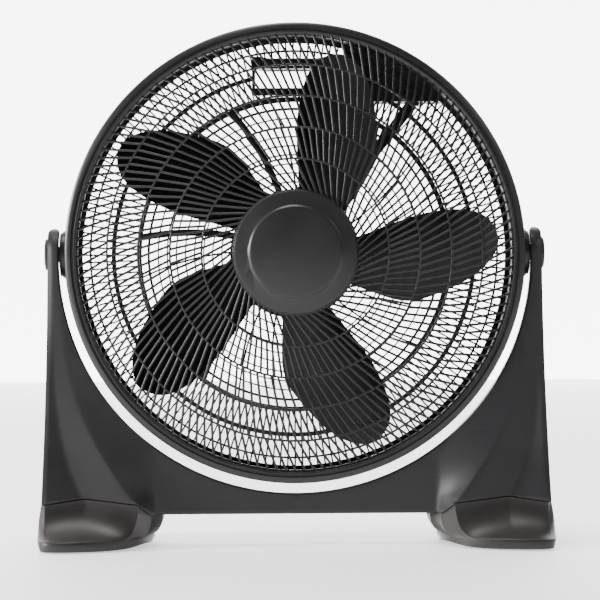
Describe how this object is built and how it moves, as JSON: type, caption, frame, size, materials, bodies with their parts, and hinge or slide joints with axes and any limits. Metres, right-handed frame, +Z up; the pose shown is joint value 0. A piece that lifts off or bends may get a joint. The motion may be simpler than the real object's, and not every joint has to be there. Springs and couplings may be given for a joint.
{
  "type": "tilting floor fan",
  "caption": "Round floor fan with a domed front guard, swept blades and a rear speed knob; its head tilts between the arms of a two-footed U-shaped yoke.",
  "frame": {"origin": "on the floor, under the middle of the head and midway between the feet", "axes": "+Z up, -Y the way the air leaves, +X to the right of a person facing the fan"},
  "size_m": [0.5818, 0.21, 0.593],
  "materials": {
    "charcoal_plastic": "fine textured charcoal plastic",
    "foot_plastic": "fine textured charcoal plastic, slightly warmer",
    "bezel_plastic": "satin charcoal plastic",
    "guard_plastic": "satin black plastic",
    "black_plastic": "black plastic",
    "blade_plastic": "smooth dark grey plastic",
    "knob_plastic": "smooth dark plastic",
    "switch_plastic": "cream electrical plastic",
    "rubber": "black rubber",
    "steel": "zinc plated steel",
    "lamination_steel": "stacked steel sheet",
    "cast_metal": "die cast aluminium",
    "copper": "enamelled copper wire"
  },
  "bodies": {
    "base": {"yoke_front_shell": "charcoal_plastic", "yoke_rear_shell": "charcoal_plastic", "left_foot": "foot_plastic", "right_foot": "foot_plastic", "rubber_pads": "rubber", "yoke_screws": "steel", "foot_screws": "steel", "left_pivot_bush": "black_plastic", "right_pivot_bush": "black_plastic", "left_pivot_cap": "charcoal_plastic", "right_pivot_cap": "charcoal_plastic"},
    "head": {"shroud": "bezel_plastic", "front_grille": "guard_plastic", "hub_cap": "bezel_plastic", "rear_grille": "guard_plastic", "rear_guard_screws": "steel", "left_pivot_bolt": "steel", "right_pivot_bolt": "steel", "left_friction_washer": "black_plastic", "right_friction_washer": "black_plastic", "motor_front_bell": "cast_metal", "motor_rear_bell": "cast_metal", "motor_bolts": "steel", "motor_nuts": "steel", "stator_core": "lamination_steel", "stator_windings": "copper", "front_bearing": "steel", "rear_bearing": "steel", "motor_rear_cover": "black_plastic", "cover_screws": "steel", "control_housing": "black_plastic", "control_cover": "black_plastic", "control_screws": "steel", "cord_inlet": "rubber", "speed_switch": "switch_plastic", "run_capacitor": "switch_plastic", "wiring_channel": "black_plastic", "carry_handle": "black_plastic"},
    "rotor": {"fan_blade": "blade_plastic", "spinner_nut": "black_plastic", "motor_shaft": "steel", "drive_pin": "steel", "rotor_core": "lamination_steel", "rotor_end_rings": "cast_metal"},
    "knob": {"speed_knob": "knob_plastic", "switch_spindle": "steel"}
  },
  "joints": [
    {"name": "head_tilt", "type": "hinge", "parent": "base", "child": "head", "pos_m": [0, 0, 0.332], "axis": [-1, 0, 0], "range_deg": [-15, 90]},
    {"name": "fan_spin", "type": "hinge", "parent": "head", "child": "rotor", "pos_m": [0, 0, 0.332], "axis": [0, 1, 0], "continuous": true},
    {"name": "speed_turn", "type": "hinge", "parent": "head", "child": "knob", "pos_m": [0.11, 0.0824, 0.5345], "axis": [0, 1, 0], "range_deg": [0, 135]}
  ]
}
